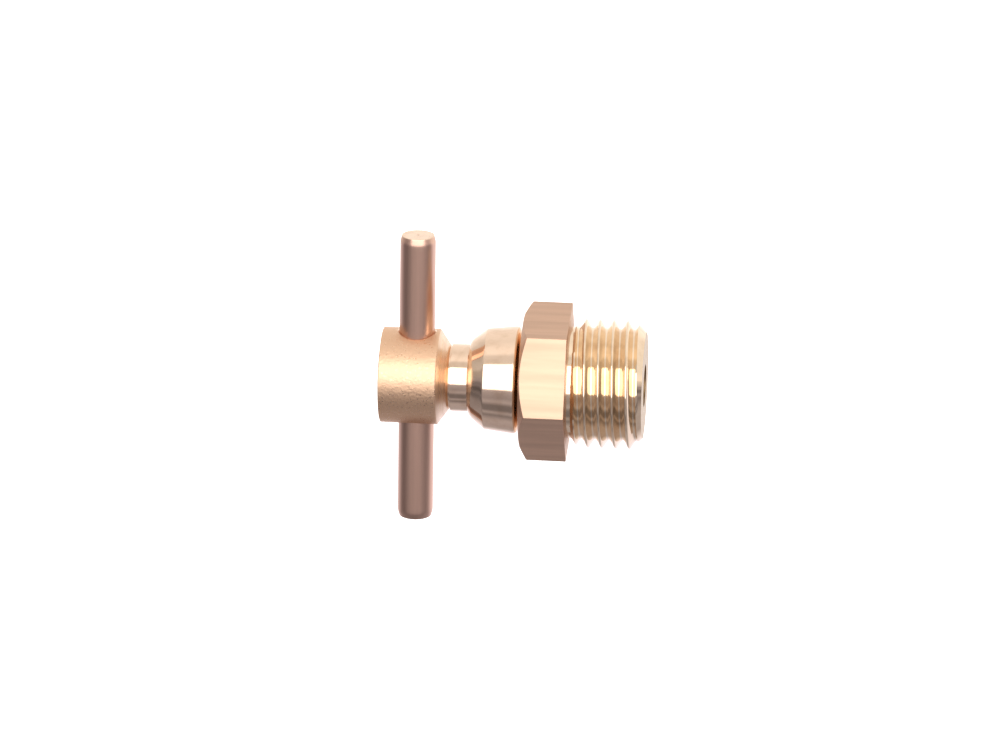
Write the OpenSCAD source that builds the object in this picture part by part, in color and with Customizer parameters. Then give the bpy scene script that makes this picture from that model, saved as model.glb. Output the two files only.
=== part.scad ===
// Screw-down drain plug of turned brass. A hexagon body screws into the port of a tank,
// a coned plug stem screws into the body, and a cross bar pressed through the stem's head
// turns it. The plug lies on its side, as it comes to rest: X runs along its axis towards
// the port thread, Z is up, and the origin is on the axis at the hexagon's sealing shoulder.

/* [Hexagon body] */
// Width of the hexagon across its flats
hex_af = 15; // [14:0.1:19]
// Length of the hexagon along the axis
hex_len = 5.05; // [4:0.05:9]
// How far in from the flats the plug side's chamfer reaches
hex_face_inset = 0.25; // [0.05:0.05:0.6]
// Angle between that chamfer and the end face
hex_chamfer_angle = 30; // [15:1:45]

/* [Port thread] */
// Major diameter of the port thread
thread_d = 14; // [12:0.1:14]
// Distance from one thread crest to the next
thread_pitch = 1.5; // [1:0.05:1.75]
// Length of the threaded end, from the shoulder to its tip
thread_len = 8.2; // [7.5:0.1:14]
// Length of the undercut beside the shoulder
relief_len = 0.25; // [0.1:0.05:0.8]
// How far the lead-in chamfer at the tip cuts in from the thread's crest
tip_chamfer = 1.2; // [0.6:0.05:1.5]

/* [Water way] */
// Bore that lets the water in at the tip
inlet_d = 4.6; // [3:0.1:5.5]
// Bore drilled up the middle of the plug stem's screw
drain_d = 2.4; // [1.5:0.1:3.4]
// Hole drilled across the screw, where the water leaves the stem
port_d = 1.8; // [1:0.1:2.2]
// Distance from the foot of the seat cone to the middle of that hole
port_from_seat = 1.6; // [1.4:0.05:2.2]

/* [Seat and screw] */
// Angle between the seat cone and the axis
seat_angle = 60; // [55:1:65]
// Gap along the axis between the two seat cones at rest
seat_gap = 0.05; // [0.02:0.01:0.1]
// Diameter of the stem's screw
screw_d = 6; // [5:0.1:7]
// Length of the screw, from the foot of the seat cone
screw_len = 8; // [6:0.1:9]
// Chamfer at the end of the screw
screw_chamfer = 0.5; // [0.2:0.05:0.7]
// Radial clearance between the screw and its bore
screw_gap = 0.05; // [0.02:0.01:0.09]
// Depth of the bore past the end of the screw
bore_runout = 1; // [0.4:0.1:1.4]

/* [Collar and neck] */
// Diameter of the collar at its seat side, where it is widest
collar_d = 11.8; // [11:0.1:13]
// Diameter of the collar at its neck side
collar_back_d = 11; // [9.6:0.1:11]
// Length of the collar
collar_len = 3.3; // [2:0.1:5]
// Distance from the collar to the face of the hexagon
collar_stand_off = 0.7; // [0.5:0.05:1.2]
// Diameter of the neck
neck_d = 7.35; // [6.4:0.05:8.2]
// Length of the neck
neck_len = 2.07; // [1.2:0.01:5]
// Width of the tool mark where the neck meets the head's cone
neck_mark_w = 0.15; // [0.05:0.05:0.4]
// Depth of that tool mark
neck_mark_depth = 0.25; // [0.05:0.05:0.4]
// Length of the flare that widens the neck into the collar
flare_len = 1.83; // [1.2:0.01:4]
// Length of the flare's steep foot
flare_foot_len = 0.42; // [0.2:0.01:0.8]
// Height of the flare's steep foot above the neck
flare_foot_h = 0.72; // [0.3:0.01:0.9]

/* [Head] */
// Diameter of the head
head_d = 10.4; // [9:0.1:13]
// Length of the head's round side
head_len = 6.2; // [5.6:0.1:9]
// Height of the shallow dome on the head's end
dome_h = 0.35; // [0.1:0.05:1]
// Length of the cone that narrows the head to the neck
cone_len = 1.25; // [0.8:0.05:3]

/* [Cross bar] */
// Diameter of the cross bar
bar_d = 3.87; // [3:0.01:4.4]
// Length of the cross bar
bar_len = 32.2; // [26:0.1:46]
// Distance from the edge of the head's dome to the middle of the bar
bar_inset = 3.74; // [3:0.02:4]
// Chamfer at the bar's ends, measured across the bar
bar_chamfer_w = 0.17; // [0.05:0.01:0.4]
// Chamfer at the bar's ends, measured along the bar
bar_chamfer_len = 0.65; // [0.2:0.05:1.2]
// How much smaller than the bar its hole is, at the radius
bar_press = 0.01; // [0.005:0.005:0.03]
// Broken edge around the hole's two mouths
hole_break = 0.2; // [0.05:0.05:0.4]

/* [Hidden] */
$fn = 96;
brass = [0.80, 0.64, 0.44];
pale_brass = [0.86, 0.72, 0.52];
drawn_brass = [0.70, 0.56, 0.42];
// What a cutter reaches past the surface it cuts
over = 1;

// Thread form: a flat crest of an eighth of the pitch, flanks at 30 degrees
crest_r = thread_d / 2;
crest_w = thread_pitch / 8;
thread_depth = 0.6134 * thread_pitch;
flank_w = thread_depth * tan(30);
root_r = crest_r - thread_depth;
crest_count = ceil((thread_len - relief_len) / thread_pitch);

// Radii that several pieces share
hex_corner_r = hex_af / 2 / cos(30);
hex_face_r = hex_af / 2 - hex_face_inset;
screw_r = screw_d / 2;
bore_r = screw_r + screw_gap;
collar_r = collar_d / 2;
neck_r = neck_d / 2;
head_r = head_d / 2;
bar_r = bar_d / 2;
bar_face_r = bar_r - bar_chamfer_w;
drill_point = 60;

// Stations along the axis, from the hexagon's plug side out to the head
hex_x = -hex_len;
collar_x = hex_x - collar_stand_off;
collar_back_x = collar_x - collar_len;
flare_x = collar_back_x - flare_len;
neck_x = flare_x - neck_len;
cone_x = neck_x - cone_len;
head_x = cone_x - head_len;
bar_x = head_x + bar_inset;

// Stations from the seat down the bore
seat_foot_x = collar_x + (collar_r - screw_r) / tan(seat_angle);
mouth_r = collar_r - (collar_stand_off - seat_gap) * tan(seat_angle);
seat_end_x = hex_x + (mouth_r - bore_r) / tan(seat_angle);
screw_x = seat_foot_x + screw_len;
bore_x = screw_x + bore_runout;
port_x = seat_foot_x + port_from_seat;
drain_x = port_x - port_d / 2;

// The plug lies on a flat of the hexagon, and the bar turns until its lower end touches
// the same surface: half the bar's length and the radius of its end face span the height
rest_h = hex_af / 2;
bar_reach = norm([bar_len / 2, bar_face_r]);
bar_tilt = asin(rest_h / bar_reach) - atan2(bar_face_r, bar_len / 2);

// A solid turned about the X axis from points given as [radius, place along X]
module turned(points) {
    rotate([0, 90, 0]) rotate_extrude() polygon(points);
}

// Turns what is built along Z into the direction of the cross bar
module along_bar() {
    translate([bar_x, 0, 0]) rotate([bar_tilt - 90, 0, 0]) children();
}

// One crest of the thread as profile points, c is its middle
function crest(c) = [
    [root_r, c - crest_w / 2 - flank_w],
    [crest_r, c - crest_w / 2],
    [crest_r, c + crest_w / 2],
    [root_r, c + crest_w / 2 + flank_w]
];

// Port thread, drawn as rings of its own pitch, with a lead-in chamfer at the tip
module port_thread() {
    first_crest = relief_len + flank_w + crest_w / 2;
    crests = [for (k = [0:crest_count - 1]) each crest(first_crest + k * thread_pitch)];
    ring_end = crests[len(crests) - 1][1];
    intersection() {
        turned(concat([[0, -over], [root_r, -over]], crests, [[0, ring_end]]));
        turned([
            [0, -over],
            [crest_r + over, -over],
            [crest_r + over, thread_len - tip_chamfer - over],
            [crest_r - tip_chamfer, thread_len],
            [0, thread_len]
        ]);
    }
}

// Hexagon with flats above and below, its corners chamfered at the plug side
module hexagon() {
    chamfer_len = (hex_corner_r + over - hex_face_r) * tan(hex_chamfer_angle);
    intersection() {
        translate([hex_x, 0, 0]) rotate([0, 90, 0]) rotate([0, 0, 30])
            cylinder(r = hex_corner_r, h = hex_len, $fn = 6);
        turned([
            [0, hex_x],
            [hex_face_r, hex_x],
            [hex_corner_r + over, hex_x + chamfer_len],
            [hex_corner_r + over, over],
            [0, over]
        ]);
    }
}

// Everything drilled out of the body: seat cone, screw bore and inlet
module body_bore() {
    inlet_r = inlet_d / 2;
    turned([
        [0, hex_x - over],
        [mouth_r + over * tan(seat_angle), hex_x - over],
        [bore_r, seat_end_x],
        [bore_r, bore_x],
        [inlet_r, bore_x + (bore_r - inlet_r) / tan(drill_point)],
        [inlet_r, thread_len + over],
        [0, thread_len + over]
    ]);
}

module hex_body() {
    color(brass) difference() {
        union() {
            hexagon();
            port_thread();
        }
        body_bore();
    }
}

// Outside of the stem, from the head's end to the end of the screw
module stem_blank() {
    dome_r = (head_r * head_r + dome_h * dome_h) / (2 * dome_h);
    intersection() {
        turned([
            [0, head_x - dome_h],
            [head_r, head_x - dome_h],
            [head_r, cone_x],
            [neck_r - neck_mark_depth, neck_x],
            [neck_r - neck_mark_depth, neck_x + neck_mark_w],
            [neck_r, neck_x + neck_mark_w],
            [neck_r, flare_x],
            [neck_r + flare_foot_h, flare_x + flare_foot_len],
            [collar_back_d / 2, collar_back_x],
            [collar_r, collar_x],
            [screw_r, seat_foot_x],
            [screw_r, screw_x - screw_chamfer],
            [screw_r - screw_chamfer, screw_x],
            [0, screw_x]
        ]);
        translate([head_x - dome_h + dome_r, 0, 0]) sphere(r = dome_r);
    }
}

// Blind bore up the screw, and the hole across it that lets the water out
module stem_water_way() {
    drain_r = drain_d / 2;
    turned([
        [0, drain_x - drain_r / tan(drill_point)],
        [drain_r, drain_x],
        [drain_r, screw_x + over],
        [0, screw_x + over]
    ]);
    translate([port_x, 0, 0]) rotate([90, 0, 0])
        cylinder(d = port_d, h = screw_d + 2 * over, center = true);
}

// Hole through the head for the bar, with a broken edge at each mouth
module bar_hole() {
    along_bar() cylinder(r = bar_r - bar_press, h = head_d + 2 * over, center = true);
    for (side = [0, 1])
        along_bar() mirror([0, 0, side]) translate([0, 0, head_r - hole_break])
            cylinder(r1 = bar_r - bar_press, r2 = bar_r + over, h = over + bar_press);
}

module stem() {
    color(pale_brass) difference() {
        stem_blank();
        stem_water_way();
        bar_hole();
    }
}

module tee_bar() {
    half = bar_len / 2;
    color(drawn_brass) along_bar() rotate_extrude() polygon([
        [0, -half],
        [bar_face_r, -half],
        [bar_r, bar_chamfer_len - half],
        [bar_r, half - bar_chamfer_len],
        [bar_face_r, half],
        [0, half]
    ]);
}

hex_body();
stem();
tee_bar();
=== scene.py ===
"""Looks of a small turned brass drain plug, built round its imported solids.

The plug lies on its side: X runs along its axis towards the port thread, Z is up, and the
origin is on the axis at the hexagon's sealing shoulder. Everything is in metres.
"""

import math

import bmesh
import bpy
import numpy as np
from bpy.props import FloatProperty, FloatVectorProperty, PointerProperty, StringProperty
from mathutils import Matrix, Vector


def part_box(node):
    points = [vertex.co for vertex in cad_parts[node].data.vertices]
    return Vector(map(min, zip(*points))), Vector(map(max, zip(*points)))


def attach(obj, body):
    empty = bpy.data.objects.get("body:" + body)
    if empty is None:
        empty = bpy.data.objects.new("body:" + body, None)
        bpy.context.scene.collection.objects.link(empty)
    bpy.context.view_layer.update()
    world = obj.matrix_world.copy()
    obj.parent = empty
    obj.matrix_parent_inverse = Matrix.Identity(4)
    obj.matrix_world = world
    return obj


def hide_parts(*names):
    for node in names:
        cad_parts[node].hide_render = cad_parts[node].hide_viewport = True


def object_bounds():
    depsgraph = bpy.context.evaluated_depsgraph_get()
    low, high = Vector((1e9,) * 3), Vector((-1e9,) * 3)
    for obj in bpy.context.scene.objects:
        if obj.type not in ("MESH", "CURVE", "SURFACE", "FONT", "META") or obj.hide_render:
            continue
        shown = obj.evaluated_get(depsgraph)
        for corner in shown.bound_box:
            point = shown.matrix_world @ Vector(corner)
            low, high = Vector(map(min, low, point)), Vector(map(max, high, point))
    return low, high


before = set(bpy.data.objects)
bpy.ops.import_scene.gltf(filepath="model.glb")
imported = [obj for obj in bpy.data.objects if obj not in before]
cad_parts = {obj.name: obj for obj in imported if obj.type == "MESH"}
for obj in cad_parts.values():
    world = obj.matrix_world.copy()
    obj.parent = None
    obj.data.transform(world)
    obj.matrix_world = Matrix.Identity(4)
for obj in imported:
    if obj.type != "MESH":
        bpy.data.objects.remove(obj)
CAD_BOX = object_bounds()
BODY_LOW, BODY_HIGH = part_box("hex_body")
STEM_LOW, STEM_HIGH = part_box("stem")

bl_info = {
    "name": "Drain plug",
    "version": (1, 0, 0),
    "blender": (4, 5, 0),
    "location": "3D View > Sidebar > Drain plug",
    "description": "Builds a screw-down drain plug of turned brass with its finishes and studio",
    "category": "Add Mesh",
}

MM = 0.001
TURN = 2 * math.pi
MERGE = 1e-8
# From the shoulder to the edge of the dome on the head's end
HEAD_EDGE = 20.4 * MM
# Half the angle of a drill's point
DRILL_POINT = math.radians(60)
# Steps of a whole turn on the stem, the bar, the bar's hole and the cross port
STEM_STEPS = 360
BAR_STEPS = 192
HOLE_STEPS = 96
PORT_STEPS = 48
# Faces that meet at more than this, in degrees, keep a crisp edge between them
CRISP_EDGE = 28
# The bar's hole is this much smaller than the bar, at the radius
HOLE_PRESS = 0.01 * MM
# How far the cutters reach past the surface that they cut
HOLE_REACH = 1.5 * MM
PORT_REACH = 1 * MM
FLOOR_SPAN = 3.0
SENSOR_WIDTH = 36
# The softbox hangs this high, and its edges lie at these degrees from straight up, as the
# plug sees them: towards -X and +X, then towards -Y and +Y
SOFTBOX_HEIGHT = 1.0
SOFTBOX_X = (-40, 48)
SOFTBOX_Y = (-26, 31.5)
# Brightness of the studio round the plug: degrees from straight up towards +Y, and the level
SURROUNDINGS = (
    (-180, 1.3), (-160, 1.0), (-140, 0.44), (-106, 0.45), (-91, 0.22), (-83, 0.42), (-76, 0.2),
    (-64, 0.2), (-55, 0.46), (-46, 0.34), (-32, 0.42), (-24, 0.6), (30, 0.8), (50, 0.84),
    (58, 1.16), (72, 1.1), (90, 0.97), (130, 1.08), (160, 1.3), (180, 1.3),
)
# The -Y half of the studio is faintly violet, the +Y half faintly warm
DIM_TINT = (1.0, 0.95, 1.06)
WARM_TINT = (1.0, 0.97, 0.96)


def length(name, description, default):
    """A length that a user can change, in metres."""
    return FloatProperty(
        name=name, description=description, default=default, min=0, precision=5, unit="LENGTH"
    )


def hex_text(name, description, default):
    """A colour as six sRGB hex digits."""
    return StringProperty(name=name, description=description, default=default, maxlen=7)


class PlugBodySizes(bpy.types.PropertyGroup):
    """Sizes of the hexagon body and its port thread."""

    across_flats: length("Across flats", "Width of the hexagon", 2 * BODY_HIGH.z)
    hexagon_length: length("Hexagon length", "Length of the hexagon along the axis", -BODY_LOW.x)
    face_inset: length("Face inset", "How far in from the flats the chamfer reaches", 0.14 * MM)
    chamfer_angle: FloatProperty(
        name="Chamfer angle",
        description="Angle between the hexagon's chamfer and its end face",
        default=math.radians(30),
        subtype="ANGLE",
    )
    corner_radius: length("Corner radius", "Rounding of the drawn bar's six corners", 0.12 * MM)
    edge_break: length("Edge break", "Width of the sharp edges' tiny rounding", 0.05 * MM)
    thread_diameter: length("Thread diameter", "Major diameter of the port thread", 14 * MM)
    thread_pitch: length("Thread pitch", "Distance from crest to crest", 1.5 * MM)
    thread_start: length("Thread start", "Place of the first crest along the axis", 0.11 * MM)
    thread_length: length("Thread length", "From the shoulder to the tip", BODY_HIGH.x)
    relief_length: length("Undercut length", "Plain groove beside the shoulder", 0.55 * MM)
    tip_chamfer: length("Tip chamfer", "Depth of the lead-in chamfer", 1.2 * MM)
    inlet_diameter: length("Inlet diameter", "Bore at the tip", 4.6 * MM)
    bore_diameter: length("Bore diameter", "Bore for the stem's screw", 6.1 * MM)
    bore_end: length("Bore end", "Where the screw's bore stops, along the axis", 4.915 * MM)
    mouth_diameter: length("Mouth diameter", "Width of the seat cone at the face", 9.548 * MM)
    seat_angle: FloatProperty(
        name="Seat angle",
        description="Angle between the seat cone and the axis",
        default=math.radians(60),
        subtype="ANGLE",
    )


class PlugStemSizes(bpy.types.PropertyGroup):
    """Sizes of the plug stem, from its head to its screw."""

    head_diameter: length("Head diameter", "Round side of the head", 10.4 * MM)
    head_length: length("Head length", "Round side's length", 6.2 * MM)
    dome_height: length("Dome height", "Shallow dome on the head's end", -STEM_LOW.x - HEAD_EDGE)
    cone_length: length("Cone length", "Cone between the head and the neck", 1.25 * MM)
    neck_diameter: length("Neck diameter", "Narrowest part", 7.35 * MM)
    neck_length: length("Neck length", "Straight part of the neck", 2.07 * MM)
    mark_width: length("Tool mark width", "Groove beside the cone", 0.15 * MM)
    mark_depth: length("Tool mark depth", "Groove beside the cone", 0.25 * MM)
    flare_length: length("Flare length", "Flare from the neck to the collar", 1.83 * MM)
    foot_length: length("Flare foot length", "Steep foot of the flare", 0.42 * MM)
    foot_height: length("Flare foot height", "Steep foot of the flare", 0.72 * MM)
    foot_hollow: length("Flare foot hollow", "How far the foot bows in towards the collar", 0.09 * MM)
    collar_back: length("Collar back diameter", "Collar at the neck side", 11 * MM)
    collar_diameter: length("Collar diameter", "Collar at its widest", 11.8 * MM)
    collar_length: length("Collar length", "Length of the collar", 3.3 * MM)
    collar_round: length("Collar rounding", "Rounding of the collar's seat side", 0.3 * MM)
    collar_drop: length("Collar drop", "How far down the seat cone the rounding ends", 0.7 * MM)
    collar_reach: length("Collar reach", "How far the collar runs on over its seat", 0.14 * MM)
    stand_off: length("Stand-off", "Gap between collar and hexagon", 0.7 * MM)
    screw_diameter: length("Screw diameter", "Screw inside the body", 6 * MM)
    screw_end: length("Screw end", "Where the screw stops, along the axis", STEM_HIGH.x)
    screw_chamfer: length("Screw chamfer", "Chamfer at the screw's end", 0.5 * MM)
    drain_diameter: length("Drain bore", "Blind bore up the screw", 2.4 * MM)
    port_diameter: length("Cross port", "Hole across the screw", 1.8 * MM)
    port_from_seat: length("Port place", "From the seat's foot to the port", 1.6 * MM)
    hole_break: length("Hole break", "Broken edge round the bar's hole", 0.19 * MM)
    edge_break: length("Edge break", "Width of the turned edges' rounding", 0.06 * MM)


class PlugBarSizes(bpy.types.PropertyGroup):
    """Sizes of the cross bar."""

    diameter: length("Bar diameter", "Thickness of the bar", 3.87 * MM)
    bar_length: length("Bar length", "From end to end", 32.2 * MM)
    inset: length("Bar inset", "From the head's dome to the bar's middle", 3.74 * MM)
    chamfer_width: length("Chamfer width", "Chamfer across the bar", 0.17 * MM)
    chamfer_length: length("Chamfer length", "Chamfer along the bar", 0.65 * MM)
    pip_diameter: length("Pip diameter", "Mark that facing leaves in the end", 0.3 * MM)
    pip_depth: length("Pip depth", "Mark that facing leaves in the end", 0.16 * MM)


class PlugFinishes(bpy.types.PropertyGroup):
    """Colours of the finishes, as sRGB hex."""

    hexagon: hex_text("Hexagon", "Dull drawn brass", "#D2AE93")
    bright: hex_text("Turned", "Bright turned brass", "#F3D6BA")
    sawn: hex_text("Head", "Sawn matte brass", "#E6BF9C")
    thread: hex_text("Thread", "Freshly cut thread", "#F5DDBE")
    rod: hex_text("Rod", "Browned drawn rod", "#D9B29C")
    bore: hex_text("Bore", "Drilled brass inside", "#B99A74")
    floor: hex_text("Floor", "Pale studio floor", "#FDFDFB")


class PlugStudio(bpy.types.PropertyGroup):
    """Studio: camera and softbox."""

    lens: FloatProperty(name="Lens", description="Focal length", default=216, unit="CAMERA")
    camera_distance: length("Camera distance", "From the axis to the camera", 652.06 * MM)
    camera_x: FloatProperty(
        name="Camera aim X", description="Where the camera aims on the axis", default=-7.58255 * MM,
        unit="LENGTH",
    )
    camera_y: FloatProperty(
        name="Camera aim Y", description="Where the camera aims beside the axis", default=0.45668 * MM,
        unit="LENGTH",
    )
    camera_turn: FloatVectorProperty(
        name="Camera turn",
        description="Turn about Y, about X and about the line of sight",
        default=(0.0794168, 0.0312125, 0.0463800),
        subtype="EULER",
    )
    softbox: FloatProperty(name="Softbox", description="Brightness of the softbox", default=1.9, min=0)


def sizes(group):
    """The scene's property group for one part of the plug."""
    return getattr(bpy.context.scene, "drain_plug_" + group)


def srgb(text):
    """An sRGB hex colour as linear RGBA."""
    digits = text.lstrip("#")
    channels = [int(digits[k : k + 2], 16) / 255 for k in (0, 2, 4)]
    linear = [c / 12.92 if c <= 0.04045 else ((c + 0.055) / 1.055) ** 2.4 for c in channels]
    return (*linear, 1.0)


def add_node(tree, kind, inputs=None, **settings):
    """Adds a node, sets its properties, then its inputs: a socket is linked, a value is set."""
    node = tree.nodes.new(kind)
    for key, value in settings.items():
        setattr(node, key, value)
    for key, value in (inputs or {}).items():
        if isinstance(value, bpy.types.NodeSocket):
            tree.links.new(value, node.inputs[key])
        else:
            node.inputs[key].default_value = value
    return node


def new_material(name):
    """An empty node material with its output, and the output's surface socket."""
    material = bpy.data.materials.new(name)
    material.use_nodes = True
    tree = material.node_tree
    tree.nodes.clear()
    output = tree.nodes.new("ShaderNodeOutputMaterial")
    return material, tree, output.inputs["Surface"]


def lathe_place(tree):
    """Distance along the cut of a lathe tool: the place along X plus the distance from the axis.
    Turned sides and faced ends both show it as rings about the axis."""
    place = add_node(tree, "ShaderNodeTexCoord").outputs["Object"]
    split = add_node(tree, "ShaderNodeSeparateXYZ", {0: place})
    squares = [
        add_node(tree, "ShaderNodeMath", {0: split.outputs[k], 1: split.outputs[k]}, operation="MULTIPLY")
        for k in ("Y", "Z")
    ]
    total = add_node(
        tree, "ShaderNodeMath", {0: squares[0].outputs[0], 1: squares[1].outputs[0]}, operation="ADD"
    )
    radius = add_node(tree, "ShaderNodeMath", {0: total.outputs[0]}, operation="SQRT")
    along = add_node(tree, "ShaderNodeMath", {0: split.outputs["X"], 1: radius.outputs[0]}, operation="ADD")
    return place, along.outputs[0]


def turned_brass(name, colour, roughness, ring_mm, ring_depth_mm, stain="#B98F66"):
    """Free-cutting brass as a lathe tool leaves it: mirror-bright, with fine rings about the
    axis that stretch each highlight a little, and faint brown staining where it was handled."""
    stain_mm = 1.6
    material, tree, surface = new_material(name)
    place, along = lathe_place(tree)
    rings = add_node(
        tree, "ShaderNodeTexNoise", {"W": along, "Scale": 1 / (ring_mm * MM), "Detail": 2.0},
        noise_dimensions="1D",
    )
    cloud = add_node(
        tree, "ShaderNodeTexNoise", {"Vector": place, "Scale": 1 / (stain_mm * MM), "Detail": 5.0}
    )
    amount = add_node(
        tree, "ShaderNodeMapRange",
        {"Value": cloud.outputs["Fac"], "From Min": 0.45, "From Max": 0.8, "To Min": 0.0, "To Max": 0.35},
    )
    colour_mix = add_node(
        tree, "ShaderNodeMix",
        {"Factor": amount.outputs["Result"], "A": srgb(colour), "B": srgb(stain)}, data_type="RGBA",
    )
    rough = add_node(
        tree, "ShaderNodeMapRange",
        {"Value": rings.outputs["Fac"], "From Min": 0.3, "From Max": 0.7, "To Min": roughness * 0.8,
         "To Max": roughness * 1.25},
    )
    bump = add_node(
        tree, "ShaderNodeBump",
        {"Height": rings.outputs["Fac"], "Distance": ring_depth_mm * MM, "Strength": 1.0},
    )
    shader = add_node(
        tree, "ShaderNodeBsdfPrincipled",
        {"Base Color": colour_mix.outputs["Result"], "Metallic": 1.0, "Roughness": rough.outputs["Result"],
         "Normal": bump.outputs["Normal"]},
    )
    tree.links.new(shader.outputs[0], surface)
    return material


def drawn_brass(name, colour, roughness, tilt, grain_mm, depth_mm, stretch):
    """Drawn bar stock left as it came: dull, with die lines along the bar, small pits that
    catch the light and a brownish cast. tilt turns the lines about X from Y; None runs them along X."""
    pit_mm, cloud_mm = 0.35, 0.9
    material, tree, surface = new_material(name)
    place = add_node(tree, "ShaderNodeTexCoord").outputs["Object"]
    if tilt is None:
        squash, turn = (stretch, 1, 1), (0, 0, 0)
    else:
        squash, turn = (1, stretch, 1), (-tilt, 0, 0)
    turned = add_node(
        tree, "ShaderNodeVectorRotate", {"Vector": place, "Rotation": turn}, rotation_type="EULER_XYZ"
    )
    lines_at = add_node(tree, "ShaderNodeVectorMath", {0: turned.outputs[0], 1: squash}, operation="MULTIPLY")
    lines = add_node(
        tree, "ShaderNodeTexNoise",
        {"Vector": lines_at.outputs[0], "Scale": 1 / (grain_mm * MM), "Detail": 3.0, "Roughness": 0.6},
    )
    pits = add_node(
        tree, "ShaderNodeTexVoronoi", {"Vector": place, "Scale": 1 / (pit_mm * MM), "Randomness": 1.0},
    )
    pit_shape = add_node(
        tree, "ShaderNodeMapRange",
        {"Value": pits.outputs["Distance"], "From Min": 0.0, "From Max": 0.22, "To Min": 0.0, "To Max": 1.0},
    )
    height = add_node(
        tree, "ShaderNodeMath",
        {0: pit_shape.outputs["Result"], 1: 0.35, 2: lines.outputs["Fac"]}, operation="MULTIPLY_ADD",
    )
    cloud = add_node(
        tree, "ShaderNodeTexNoise",
        {"Vector": lines_at.outputs[0], "Scale": 1 / (cloud_mm * MM), "Detail": 4.0},
    )
    shade = add_node(
        tree, "ShaderNodeMapRange",
        {"Value": cloud.outputs["Fac"], "From Min": 0.3, "From Max": 0.75, "To Min": 1.05, "To Max": 0.86},
    )
    tone = add_node(
        tree, "ShaderNodeVectorMath",
        {0: srgb(colour)[:3], "Scale": shade.outputs["Result"]}, operation="SCALE",
    )
    bump = add_node(
        tree, "ShaderNodeBump", {"Height": height.outputs[0], "Distance": depth_mm * MM, "Strength": 1.0},
    )
    shader = add_node(
        tree, "ShaderNodeBsdfPrincipled",
        {"Base Color": tone.outputs[0], "Metallic": 1.0, "Roughness": roughness,
         "Normal": bump.outputs["Normal"]},
    )
    tree.links.new(shader.outputs[0], surface)
    return material


def sawn_brass(name, colour):
    """The head's matte side, tumbled or sawn: a soft sheen broken by bright grains a few tenths
    of a millimetre wide, which flash where they face the light."""
    grit_mm, grain_mm = 0.28, 0.4
    material, tree, surface = new_material(name)
    place = add_node(tree, "ShaderNodeTexCoord").outputs["Object"]
    grit = add_node(
        tree, "ShaderNodeTexNoise",
        {"Vector": place, "Scale": 1 / (grit_mm * MM), "Detail": 3.0, "Roughness": 0.65},
    )
    grains = add_node(tree, "ShaderNodeTexVoronoi", {"Vector": place, "Scale": 1 / (grain_mm * MM)})
    spark = add_node(
        tree, "ShaderNodeMapRange",
        {"Value": grains.outputs["Distance"], "From Min": 0.12, "From Max": 0.3, "To Min": 0.12,
         "To Max": 0.42},
    )
    bump = add_node(
        tree, "ShaderNodeBump", {"Height": grit.outputs["Fac"], "Distance": 0.05 * MM, "Strength": 1.0},
    )
    shader = add_node(
        tree, "ShaderNodeBsdfPrincipled",
        {"Base Color": srgb(colour), "Metallic": 1.0, "Roughness": spark.outputs["Result"],
         "Normal": bump.outputs["Normal"]},
    )
    tree.links.new(shader.outputs[0], surface)
    return material


def pale_floor(name, colour):
    """Matte white sweep paper, lit from below as well as above, so it shows hardly any shadow."""
    fibre_mm = 4
    material, tree, surface = new_material(name)
    place = add_node(tree, "ShaderNodeTexCoord").outputs["Object"]
    paper = add_node(
        tree, "ShaderNodeTexNoise", {"Vector": place, "Scale": 1 / (fibre_mm * MM), "Detail": 2.0}
    )
    rough = add_node(
        tree, "ShaderNodeMapRange",
        {"Value": paper.outputs["Fac"], "To Min": 0.85, "To Max": 0.95},
    )
    shader = add_node(
        tree, "ShaderNodeBsdfPrincipled",
        {"Base Color": srgb(colour), "Roughness": rough.outputs["Result"], "Emission Color": srgb(colour),
         "Emission Strength": 1.0},
    )
    tree.links.new(shader.outputs[0], surface)
    return material


def soften(profile, cut, steps=4):
    """Rounds each corner of a closed profile. Corner P between neighbours A and B becomes the
    curve (1-s)^2 P1 + 2s(1-s) P + s^2 P2, where P1 and P2 lie the corner's cut away from P
    towards A and B. profile is (..., corners, 2), and cut is one length for each corner."""
    before = np.roll(profile, 1, axis=-2) - profile
    after = np.roll(profile, -1, axis=-2) - profile
    reach = [np.linalg.norm(side, axis=-1, keepdims=True) for side in (before, after)]
    cut = np.broadcast_to(np.asarray(cut, float)[:, None], reach[0].shape)
    first = profile + before / reach[0] * np.minimum(cut, reach[0] / 2)
    last = profile + after / reach[1] * np.minimum(cut, reach[1] / 2)
    s = np.linspace(0, 1, steps)[:, None]
    ends = (1 - s) ** 2 * first[..., None, :] + s**2 * last[..., None, :]
    curve = ends + 2 * s * (1 - s) * profile[..., None, :]
    return curve.reshape(*profile.shape[:-2], -1, 2)


def split_long(stations, longest):
    """Adds stations in even steps wherever two neighbours lie more than longest apart."""
    gaps = np.hypot(*np.diff(stations, axis=0).T)
    counts = np.maximum(1, np.ceil(gaps / longest)).astype(int)
    start = np.repeat(np.arange(len(gaps)), counts)
    share = (np.arange(counts.sum()) - np.repeat(np.cumsum(counts) - counts, counts)) / counts[start]
    inner = stations[start] + share[:, None] * (stations[start + 1] - stations[start])
    return np.vstack([inner, stations[-1:]])


def turn_angles(count):
    """Even angles about the axis, the first one repeated as a whole turn."""
    return np.linspace(0, TURN, count + 1)


def swing(angles, profile):
    """Carries a profile of (place along X, distance from the axis) round the X axis:
    y is the distance times the cosine and z times the sine. profile may differ at each angle."""
    profile = np.broadcast_to(profile, (len(angles), *profile.shape[-2:]))
    x, r = profile[..., 0], profile[..., 1]
    return np.stack([x, r * np.cos(angles)[:, None], r * np.sin(angles)[:, None]], -1)


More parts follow.
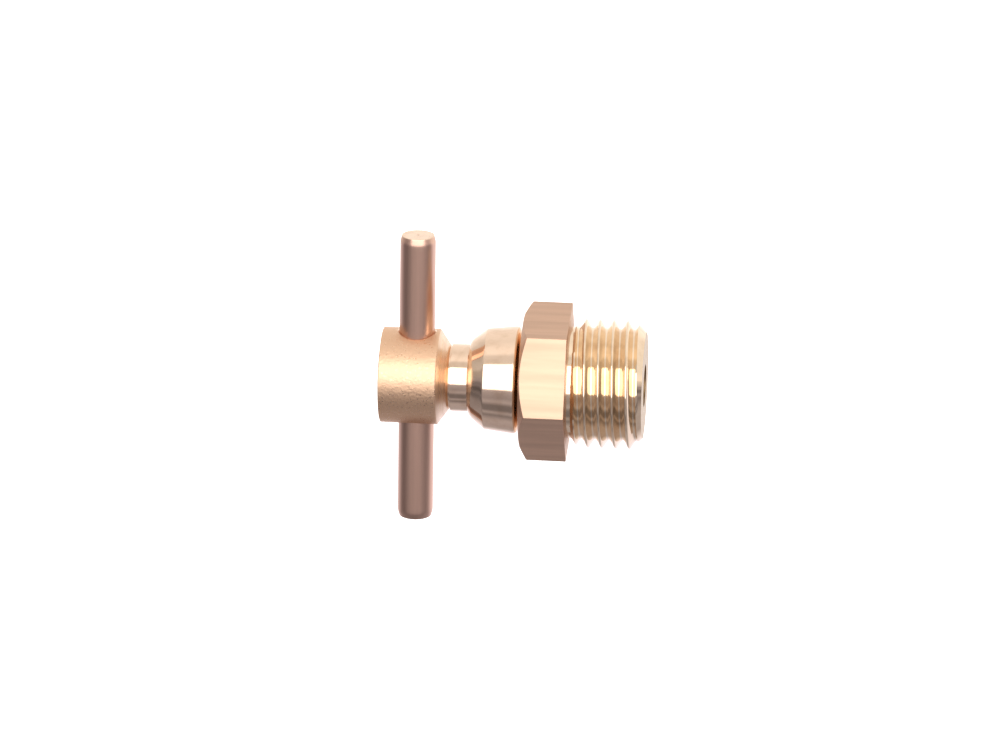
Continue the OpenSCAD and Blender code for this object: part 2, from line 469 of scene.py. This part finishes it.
def grid_piece(name, points, materials, face_slot):
    """A mesh of four-sided faces over a grid of points (rows, stations, 3). Points that fall
    together are merged, which closes the seams and poles, and normals are turned outwards."""
    rows, stations = points.shape[:2]
    index = np.arange(rows * stations).reshape(rows, stations)
    corners = np.stack([index[:-1, :-1], index[1:, :-1], index[1:, 1:], index[:-1, 1:]], -1).reshape(-1, 4)
    mesh = bpy.data.meshes.new(name)
    mesh.vertices.add(rows * stations)
    mesh.vertices.foreach_set("co", points.astype(np.float32).ravel())
    mesh.loops.add(corners.size)
    mesh.loops.foreach_set("vertex_index", corners.ravel().astype(np.int32))
    mesh.polygons.add(len(corners))
    mesh.polygons.foreach_set("loop_start", (np.arange(len(corners)) * 4).astype(np.int32))
    slots = np.broadcast_to(np.asarray(face_slot), (rows - 1, stations - 1)).ravel()
    mesh.polygons.foreach_set("material_index", slots.astype(np.int32))
    mesh.update(calc_edges=True)
    for material in materials:
        mesh.materials.append(material)
    shell = bmesh.new()
    shell.from_mesh(mesh)
    bmesh.ops.remove_doubles(shell, verts=shell.verts, dist=MERGE)
    bmesh.ops.dissolve_degenerate(shell, edges=shell.edges, dist=MERGE)
    bmesh.ops.recalc_face_normals(shell, faces=shell.faces)
    shell.to_mesh(mesh)
    shell.free()
    smooth(mesh)
    piece = bpy.data.objects.new(name, mesh)
    bpy.context.scene.collection.objects.link(piece)
    return piece


def smooth(mesh):
    """Smooth shading, with edges kept crisp where faces meet steeply."""
    mesh.polygons.foreach_set("use_smooth", np.ones(len(mesh.polygons), bool))
    mesh.set_sharp_from_angle(angle=math.radians(CRISP_EDGE))


def cut_away(piece, cutters):
    """Takes the cutters' shapes out of the piece, then removes the cutters."""
    for cutter in cutters:
        cut = piece.modifiers.new(cutter.name, "BOOLEAN")
        cut.operation, cut.solver, cut.object = "DIFFERENCE", "EXACT", cutter
    bpy.context.view_layer.update()
    whole = bpy.data.meshes.new_from_object(piece.evaluated_get(bpy.context.evaluated_depsgraph_get()))
    old = piece.data
    piece.modifiers.clear()
    piece.data = whole
    whole.name = old.name
    bpy.data.meshes.remove(old)
    for cutter in cutters:
        bpy.data.meshes.remove(cutter.data)
    smooth(whole)


def hexagon_radius(angles, s):
    """Distance from the axis to the side of a hexagon with flats above and below. Away from the
    corners it is half the width over the cosine of the angle from the flat's middle; at a corner
    it is the far side of a circle of the corner's radius that touches both flats."""
    flat_r, corner_r = s.across_flats / 2, s.corner_radius
    off = np.abs((angles + TURN / 12) % (TURN / 6) - TURN / 12)
    straight = flat_r / np.cos(TURN / 12 - off)
    centre = (flat_r - corner_r) / math.cos(TURN / 12)
    limit = math.atan2(corner_r * math.sin(TURN / 12), centre + corner_r * math.cos(TURN / 12))
    under = np.maximum(0, corner_r**2 - (centre * np.sin(off)) ** 2)
    return np.where(off < limit, centre * np.cos(off) + np.sqrt(under), straight)


def thread_stations(s, angles):
    """The port thread: each station keeps its place on the thread's form and moves along X by one
    pitch for each turn, so the crest is a true right-hand helix. From the middle of a groove the
    form is an arc of root_round, then a flank at 30 degrees, then the crest, where the lower of
    flank and crest is taken and blended over crest_blend. The cones of both ends cut it down."""
    pitch, crest_r = s.thread_pitch, s.thread_diameter / 2
    depth, root_round, crest_blend = 0.6134 * pitch, 0.14 * pitch, 0.11 * pitch
    flank_slope, run_in_slope = math.tan(math.radians(30)), math.tan(math.radians(58))
    root_r = crest_r - depth
    # From a crest to the middle of the groove, as shares of the pitch, closer where the form bends
    steps = np.array([0, 0.035, 0.065, 0.095, 0.13, 0.22, 0.32, 0.40, 0.44, 0.47, 0.5]) * pitch
    form = np.concatenate([-steps[-2:0:-1], steps])
    turns = np.arange(-2, math.ceil(s.thread_length / pitch) + 1)
    u = (turns[:, None] * pitch + form).ravel() + s.thread_start
    # Stations start one turn before the shoulder, with a little to spare for rounding
    u = u[(u > -pitch * 1.001) & (u < s.thread_length + pitch)]
    shift = pitch * angles[:, None] / TURN
    x = np.clip(u + shift, 0, s.thread_length)
    groove = np.abs((x - s.thread_start - shift) % pitch - pitch / 2)
    flank_foot = root_round * math.sin(math.radians(60))
    arc = root_round - np.sqrt(np.maximum(0, root_round**2 - np.minimum(groove, flank_foot) ** 2))
    rise = arc + np.maximum(0, groove - flank_foot) / flank_slope
    blend = np.maximum(0, crest_blend - np.abs(rise - depth)) ** 2 / (4 * crest_blend)
    rise = np.minimum(rise, depth) - blend
    run_in = root_r + np.maximum(0, x - s.relief_length) * run_in_slope
    run_out = crest_r - (x - (s.thread_length - s.tip_chamfer))
    return np.stack([x, np.minimum(np.minimum(root_r + rise, run_in), run_out)], -1), root_r


def body_angles():
    """Angles round the body for one whole turn, in degrees at first. Each sixth runs from one
    corner of the hexagon to the next, with the angles closer together beside both."""
    after, before = [0, 0.15, 0.3, 0.45], [59.55, 59.7, 59.85]
    sixth = np.radians(np.concatenate([after, np.linspace(0.8, 59.2, 54), before]))
    return np.append((np.arange(6)[:, None] * TURN / 6 + sixth).ravel(), TURN)


class PlugBody(bpy.types.Operator):
    """Builds the hexagon body with its helical port thread, undercut, seat and bores"""

    bl_idname = "drain_plug.body"
    bl_label = "Hexagon body"

    def execute(self, context):
        s, colours = sizes("body"), sizes("finishes")
        angles = body_angles()
        side = hexagon_radius(angles, s)
        face_x, face_r = -s.hexagon_length, s.across_flats / 2 - s.face_inset
        bore_r, inlet_r, mouth_r = s.bore_diameter / 2, s.inlet_diameter / 2, s.mouth_diameter / 2
        tip_r = s.thread_diameter / 2 - s.tip_chamfer
        thread, root_r = thread_stations(s, angles)

        def ring(x, r):
            """A place along X and a distance from the axis, at every angle."""
            return np.stack(np.broadcast_arrays(x, r, angles)[:2], -1)

        corners = np.stack(
            [
                ring(s.bore_end + (bore_r - inlet_r) / math.tan(DRILL_POINT), inlet_r),
                ring(s.bore_end, bore_r),
                ring(face_x + (mouth_r - bore_r) / math.tan(s.seat_angle), bore_r),
                ring(face_x, mouth_r),
                ring(face_x, face_r),
                ring(face_x + (side - face_r) * math.tan(s.chamfer_angle), side),
                ring(0.0, side),
                ring(0.0, root_r),
            ],
            1,
        )
        # How far each corner is rounded, as shares of the edge break
        cuts = np.array([0.2, 0.1, 0.3, 1, 1.6, 1.6, 1, 0.4]) * s.edge_break
        steps = 4
        outline = soften(corners, cuts, steps)
        tip = np.stack([ring(s.thread_length, tip_r), ring(s.thread_length, inlet_r)], 1)
        loop = np.concatenate([outline[:, 1:-1], thread, tip, outline[:, 1:2]], axis=1)
        drawn, cut, bore, faced = range(4)
        # The finish of each run of strips between stations, from the bore out to the tip
        finish = np.repeat(
            [bore, faced, drawn, cut, faced, bore],
            [3 * steps + 1, steps + 1, 3 * steps, thread.shape[1] - 1, 1, 2],
        )
        materials = [
            # Hexagon bar from a drawing die: dull peach-brown flats with faint lines along the bar
            drawn_brass(
                "drawn_hexagon_brass", colours.hexagon, roughness=0.42, tilt=None, grain_mm=0.12,
                depth_mm=0.012, stretch=0.06,
            ),
            # Thread fresh from the die: mirror flanks that throw the light from one to the other
            turned_brass(
                "cut_thread_brass", colours.thread, roughness=0.07, ring_mm=0.06, ring_depth_mm=0.0004
            ),
            # Drill-finished bore and the tip's end: darker, with coarser rings
            turned_brass(
                "drilled_bore_brass", colours.bore, roughness=0.3, ring_mm=0.2, ring_depth_mm=0.003
            ),
            # Face on the plug side: bright, with fine rings from the facing cut
            turned_brass(
                "faced_end_brass", colours.bright, roughness=0.16, ring_mm=0.09, ring_depth_mm=0.0012
            ),
        ]
        piece = grid_piece("threaded_body", swing(angles, loop), materials, finish)
        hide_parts("hex_body")
        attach(piece, "body")
        return {"FINISHED"}


def stem_places():
    """Places along X of the collar's seat side and neck side, the flare, the neck, the cone and
    the head's edge, each worked out from the one before."""
    s, b = sizes("stem"), sizes("body")
    collar_x = -b.hexagon_length - s.stand_off
    back_x = collar_x - s.collar_length
    flare_x = back_x - s.flare_length
    neck_x = flare_x - s.neck_length
    cone_x = neck_x - s.cone_length
    return collar_x, back_x, flare_x, neck_x, cone_x, cone_x - s.head_length


def bar_tilt():
    """The bar's angle from the floor's plane, worked out as in the solids: its lower end rests
    on the surface that the hexagon's flat rests on."""
    b, bar = sizes("body"), sizes("bar")
    end_r = bar.diameter / 2 - bar.chamfer_width
    reach = math.hypot(bar.bar_length / 2, end_r)
    return math.asin(b.across_flats / 2 / reach) - math.atan2(end_r, bar.bar_length / 2)


def lean(points):
    """Turns what is built along Y to the bar's tilt and moves it to the bar's place."""
    turn = np.array(Matrix.Rotation(bar_tilt(), 3, "X"))
    return points @ turn.T + [stem_places()[-1] + sizes("bar").inset, 0, 0]


def bar_hole_cutter(material):
    """What is cut away for the bar: a round hole that opens as a 45 degree cone at each mouth.
    At angle a about the hole the cone starts at the square root of head_r^2 - (hole_r sin a)^2
    from the middle, less the broken edge, so the broken edge is even all the way round."""
    s, bar = sizes("stem"), sizes("bar")
    head_r, hole_r = s.head_diameter / 2, bar.diameter / 2 - HOLE_PRESS
    around = turn_angles(HOLE_STEPS)
    lip = np.sqrt(head_r**2 - (hole_r * np.sin(around)) ** 2) - s.hole_break
    end = head_r + HOLE_REACH
    along = np.stack(np.broadcast_arrays(lip, end, end), 1)
    wide = np.stack(np.broadcast_arrays(hole_r, hole_r + (end - lip), 0.0), 1)
    along = np.concatenate([-along[:, ::-1], along], 1)
    wide = np.concatenate([wide[:, ::-1], wide], 1)
    spun = np.stack([wide * np.cos(around)[:, None], along, wide * np.sin(around)[:, None]], -1)
    return grid_piece("bar_hole", lean(spun), [material], 0)


def port_cutter(port_x, material):
    """What is cut away for the cross port: a cylinder along Y, right through the screw."""
    s = sizes("stem")
    port_r, reach = s.port_diameter / 2, s.screw_diameter / 2 + PORT_REACH
    profile = np.array([[-reach, 0], [-reach, port_r], [reach, port_r], [reach, 0]])
    spun = swing(turn_angles(PORT_STEPS), profile)[..., [1, 0, 2]] + [port_x, 0, 0]
    return grid_piece("port_hole", spun, [material], 0)


def stem_profile(foot_x, drain_x):
    """Outline of the stem from the dome's top to the end of its blind bore, as places along X
    and distances from the axis. The dome is an arc of radius (head_r^2 + h^2) / 2h, h its height."""
    s, b = sizes("stem"), sizes("body")
    collar_x, back_x, flare_x, neck_x, cone_x, head_x = stem_places()
    head_r, neck_r, collar_r = s.head_diameter / 2, s.neck_diameter / 2, s.collar_diameter / 2
    screw_r, drain_r = s.screw_diameter / 2, s.drain_diameter / 2
    dome_rings, edge_room, longest, steps = 24, 0.12 * MM, 0.35 * MM, 6
    dome_r = (head_r**2 + s.dome_height**2) / (2 * s.dome_height)
    reach = np.linspace(0, 1, dome_rings) * (head_r - edge_room)
    dome = np.stack([head_x - s.dome_height + dome_r - np.sqrt(dome_r**2 - reach**2), reach], -1)
    hollow_x = flare_x + s.foot_length / 2 - s.foot_hollow
    hollow_r = neck_r + s.foot_height / 2 + s.foot_hollow / 2
    # Place along X, distance from the axis, and the corner's rounding as a share of the edge break
    corners = np.array(
        [
            [head_x, head_r, 1.5],
            [cone_x, head_r, 2.2],
            [neck_x, neck_r - s.mark_depth, 0.5],
            [neck_x + s.mark_width, neck_r - s.mark_depth, 0.5],
            [neck_x + s.mark_width, neck_r, 0.7],
            [flare_x, neck_r, 1],
            [hollow_x, hollow_r, 2],
            [flare_x + s.foot_length, neck_r + s.foot_height, 1.6],
            [back_x, s.collar_back / 2, 1.6],
            [collar_x + s.collar_reach, collar_r, s.collar_round / s.edge_break],
            [collar_x + s.collar_drop / math.tan(b.seat_angle), collar_r - s.collar_drop, 4],
            [foot_x, screw_r, 1],
            [s.screw_end - s.screw_chamfer, screw_r, 1],
            [s.screw_end, screw_r - s.screw_chamfer, 1],
            [s.screw_end, drain_r, 1],
            [drain_x, drain_r, 1],
            [drain_x - drain_r / math.tan(DRILL_POINT), 0, 0],
        ]
    )
    rounded = soften(corners[:, :2], corners[:, 2] * s.edge_break, steps)
    return split_long(np.vstack([dome, rounded[:-steps], corners[-1:, :2]]), longest)


class PlugStem(bpy.types.Operator):
    """Builds the plug stem: head, neck, flare, collar, seat cone and screw"""

    bl_idname = "drain_plug.stem"
    bl_label = "Plug stem"

    def execute(self, context):
        s, b, colours = sizes("stem"), sizes("body"), sizes("finishes")
        collar_x, _, _, neck_x, cone_x, _ = stem_places()
        foot_x = collar_x + (s.collar_diameter / 2 - s.screw_diameter / 2) / math.tan(b.seat_angle)
        port_x = foot_x + s.port_from_seat
        profile = stem_profile(foot_x, port_x - s.port_diameter / 2)
        middle_x = (profile[:-1, 0] + profile[1:, 0]) / 2
        sawn, coarse, bright = range(3)
        sawn_end = cone_x + 0.1 * MM
        finish = np.select([middle_x < sawn_end, middle_x < neck_x], [sawn, coarse], bright)
        materials = [
            # Head left matte, with grains that sparkle where they face the light
            sawn_brass("sawn_head_brass", colours.sawn),
            # Cone behind the head: turned in one coarse pass
            turned_brass(
                "coarse_turned_brass", colours.bright, roughness=0.28, ring_mm=0.12, ring_depth_mm=0.004
            ),
            # Neck, flare and collar: a fine finishing cut, almost a mirror
            turned_brass(
                "turned_bright_brass", colours.bright, roughness=0.09, ring_mm=0.07, ring_depth_mm=0.0008
            ),
        ]
        piece = grid_piece("plug_stem", swing(turn_angles(STEM_STEPS), profile), materials, finish)
        cut_away(piece, [bar_hole_cutter(materials[bright]), port_cutter(port_x, materials[coarse])])
        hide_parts("stem")
        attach(piece, "handle")
        return {"FINISHED"}


class PlugBar(bpy.types.Operator):
    """Builds the cross bar with its faced and chamfered ends"""

    bl_idname = "drain_plug.bar"
    bl_label = "Cross bar"

    def execute(self, context):
        bar, colours = sizes("bar"), sizes("finishes")
        bar_r, half = bar.diameter / 2, bar.bar_length / 2
        steps, longest, face_depth = 5, 0.4 * MM, 0.06 * MM
        end = np.array(
            [
                [half - bar.pip_depth, 0],
                [half, bar.pip_diameter / 2],
                [half, bar_r - bar.chamfer_width],
                [half - bar.chamfer_length, bar_r],
            ]
        )
        corners = np.vstack([end, (end * [-1, 1])[::-1]])
        # How far each corner is rounded, from one end of the bar to the other
        cuts = np.array([0, 0.04, 0.05, 0.2, 0.2, 0.05, 0.04, 0]) * MM
        rounded = soften(corners, cuts, steps)
        profile = split_long(np.vstack([corners[:1], rounded[steps:-steps], corners[-1:]]), longest)
        spun = swing(turn_angles(BAR_STEPS), profile)[..., [1, 0, 2]]
        middle = (profile[:-1, 0] + profile[1:, 0]) / 2
        finish = np.where(np.abs(middle) > half - face_depth, 1, 0)
        materials = [
            # Rod as drawn: browned, with faint die lines along it
            drawn_brass(
                "drawn_rod_brass", colours.rod, roughness=0.3, tilt=bar_tilt(), grain_mm=0.1,
                depth_mm=0.006, stretch=0.03,
            ),
            # Ends faced off bright
            turned_brass(
                "faced_rod_end_brass", colours.bright, roughness=0.2, ring_mm=0.09, ring_depth_mm=0.0015
            ),
        ]
        piece = grid_piece("cross_bar", lean(spun), materials, finish)
        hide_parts("tee_bar")
        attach(piece, "handle")
        return {"FINISHED"}


def lay_floor(colours):
    """A flat sheet at the plug's lowest point, facing up, that no gloss reflects."""
    low, high = [-FLOOR_SPAN, FLOOR_SPAN], np.full((2, 2), CAD_BOX[0].z)
    points = np.dstack([*np.meshgrid(low, low, indexing="ij"), high])
    floor = grid_piece("floor", points, [pale_floor("matte_sweep_paper", colours.floor)], 0)
    if floor.data.polygons[0].normal.z < 0:
        floor.data.flip_normals()
    floor.visible_glossy = False


def place_camera(studio, scene):
    """The camera, turned about Y, then X, then its own line of sight, and moved back along it."""
    camera = bpy.data.objects.new("camera", bpy.data.cameras.new("camera"))
    camera.data.lens, camera.data.sensor_width = studio.lens, SENSOR_WIDTH
    camera.data.clip_start, camera.data.clip_end = 0.01, 20
    about_y, about_x, about_sight = studio.camera_turn
    turn = Matrix.Rotation(about_y, 3, "Y") @ Matrix.Rotation(about_x, 3, "X")
    turn = turn @ Matrix.Rotation(about_sight, 3, "Z")
    place = Vector((studio.camera_x, studio.camera_y, 0)) + turn.col[2] * studio.camera_distance
    camera.matrix_world = Matrix.LocRotScale(place, turn, None)
    scene.collection.objects.link(camera)
    scene.camera = camera


def hang_softbox(studio, scene):
    """The softbox: level, overhead, with its power worked out from its brightness and area."""
    x_low, x_high = (SOFTBOX_HEIGHT * math.tan(math.radians(edge)) for edge in SOFTBOX_X)
    y_low, y_high = (SOFTBOX_HEIGHT * math.tan(math.radians(edge)) for edge in SOFTBOX_Y)
    box = bpy.data.lights.new("softbox", "AREA")
    box.shape, box.size, box.size_y = "RECTANGLE", x_high - x_low, y_high - y_low
    box.energy = studio.softbox * math.pi * box.size * box.size_y
    lamp = bpy.data.objects.new("softbox", box)
    lamp.location = ((x_low + x_high) / 2, (y_low + y_high) / 2, SOFTBOX_HEIGHT)
    scene.collection.objects.link(lamp)


def light_surroundings(colours, scene):
    """The world: brightness by the angle from straight up towards +Y, dimmer towards -X. The
    camera itself sees the floor's colour all round."""
    world = bpy.data.worlds.new("studio_surroundings")
    world.use_nodes = True
    tree = world.node_tree
    tree.nodes.clear()
    direction = add_node(tree, "ShaderNodeTexCoord").outputs["Generated"]
    split = add_node(tree, "ShaderNodeSeparateXYZ", {0: direction})
    angle = add_node(
        tree, "ShaderNodeMath", {0: split.outputs["Y"], 1: split.outputs["Z"]}, operation="ARCTAN2"
    )
    share = add_node(
        tree, "ShaderNodeMapRange",
        {"Value": angle.outputs[0], "From Min": -math.pi, "From Max": math.pi, "To Min": 0.0,
         "To Max": 1.0},
    )
    ramp = add_node(tree, "ShaderNodeValToRGB", {0: share.outputs["Result"]})
    elements = ramp.color_ramp.elements
    while len(elements) < len(SURROUNDINGS):
        elements.new(0.5)
    # The ramp holds half of each level, and the background's strength makes up for it
    for element, (degrees, level) in zip(elements, SURROUNDINGS):
        tint = WARM_TINT if degrees > 0 else DIM_TINT
        element.position = (degrees + 180) / 360
        element.color = (*(level / 2 * part for part in tint), 1)
    side = add_node(
        tree, "ShaderNodeMapRange",
        {"Value": split.outputs["X"], "From Min": -0.95, "From Max": -0.4, "To Min": 1.15, "To Max": 2.0},
    )
    light = add_node(
        tree, "ShaderNodeBackground",
        {"Color": ramp.outputs["Color"], "Strength": side.outputs["Result"]},
    )
    seen = add_node(tree, "ShaderNodeBackground", {"Color": srgb(colours.floor), "Strength": 1.0})
    path = add_node(tree, "ShaderNodeLightPath")
    mix = add_node(
        tree, "ShaderNodeMixShader",
        {0: path.outputs["Is Camera Ray"], 1: light.outputs[0], 2: seen.outputs[0]},
    )
    output = add_node(tree, "ShaderNodeOutputWorld")
    tree.links.new(mix.outputs[0], output.inputs["Surface"])
    scene.world = world


class PlugStage(bpy.types.Operator):
    """Sets up the pale floor, the camera, the softbox and the soft surroundings"""

    bl_idname = "drain_plug.stage"
    bl_label = "Studio"

    def execute(self, context):
        studio, colours, scene = sizes("studio"), sizes("finishes"), context.scene
        lay_floor(colours)
        place_camera(studio, scene)
        hang_softbox(studio, scene)
        light_surroundings(colours, scene)
        scene.view_settings.view_transform = "Standard"
        return {"FINISHED"}


class PlugPanel(bpy.types.Panel):
    """Lists the plug's sizes, finishes and builders"""

    bl_idname = "VIEW3D_PT_drain_plug"
    bl_label = "Drain plug"
    bl_space_type = "VIEW_3D"
    bl_region_type = "UI"
    bl_category = "Drain plug"

    def draw(self, context):
        for group in GROUPS:
            box = self.layout.box()
            box.label(text=group.capitalize())
            for key in GROUPS[group].__annotations__:
                box.prop(sizes(group), key)
        for operator in OPERATORS:
            self.layout.operator(operator.bl_idname)


GROUPS = {
    "body": PlugBodySizes,
    "stem": PlugStemSizes,
    "bar": PlugBarSizes,
    "finishes": PlugFinishes,
    "studio": PlugStudio,
}
OPERATORS = (PlugBody, PlugStem, PlugBar, PlugStage)


def register():
    for cls in (*GROUPS.values(), *OPERATORS, PlugPanel):
        bpy.utils.register_class(cls)
    for group, cls in GROUPS.items():
        setattr(bpy.types.Scene, "drain_plug_" + group, PointerProperty(type=cls))


def unregister():
    for group in GROUPS:
        delattr(bpy.types.Scene, "drain_plug_" + group)
    for cls in reversed((*GROUPS.values(), *OPERATORS, PlugPanel)):
        bpy.utils.unregister_class(cls)


def main():
    register()
    bpy.ops.drain_plug.body()
    bpy.ops.drain_plug.stem()
    bpy.ops.drain_plug.bar()
    bpy.ops.drain_plug.stage()


if __name__ == "__main__":
    main()
